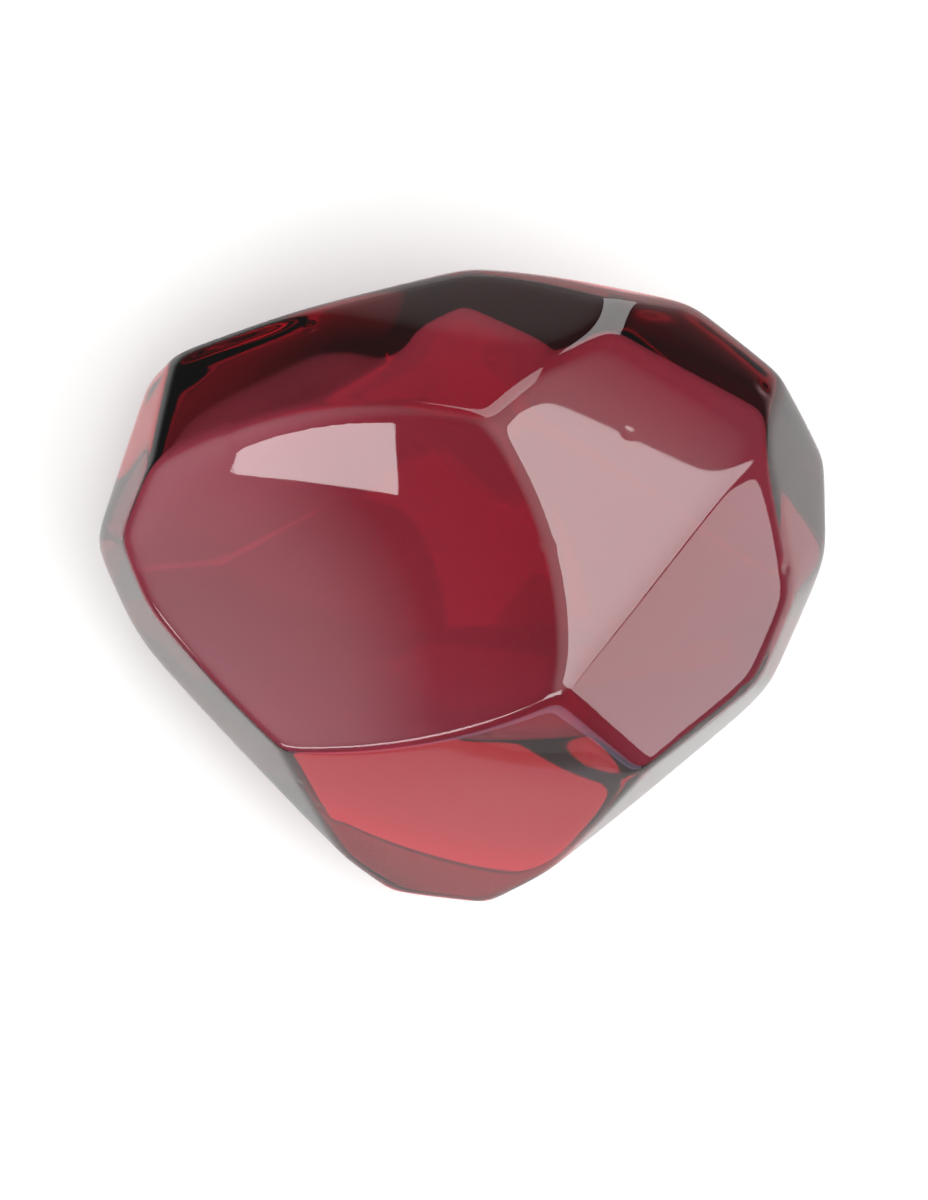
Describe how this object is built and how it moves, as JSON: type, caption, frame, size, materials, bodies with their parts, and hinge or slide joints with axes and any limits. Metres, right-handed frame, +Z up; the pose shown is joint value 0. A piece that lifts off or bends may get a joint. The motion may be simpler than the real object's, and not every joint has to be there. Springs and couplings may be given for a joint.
{
  "type": "tumbled garnet chip",
  "caption": "Small tumbled and polished garnet chip, heart-shaped from above, with worn facets, a shallow dish and a flat base to rest on.",
  "frame": {"origin": "on the flat base that the chip rests on, under the middle of its outline", "axes": "+Z up, out of the top; +X to the right of the picture along the chip's width; -Y towards the blunt tip"},
  "size_m": [0.0101, 0.009, 0.0049],
  "materials": {
    "garnet": "tumbled and polished, see-through deep red"
  },
  "bodies": {
    "root": {"garnet_chip": "garnet"}
  },
  "joints": []
}
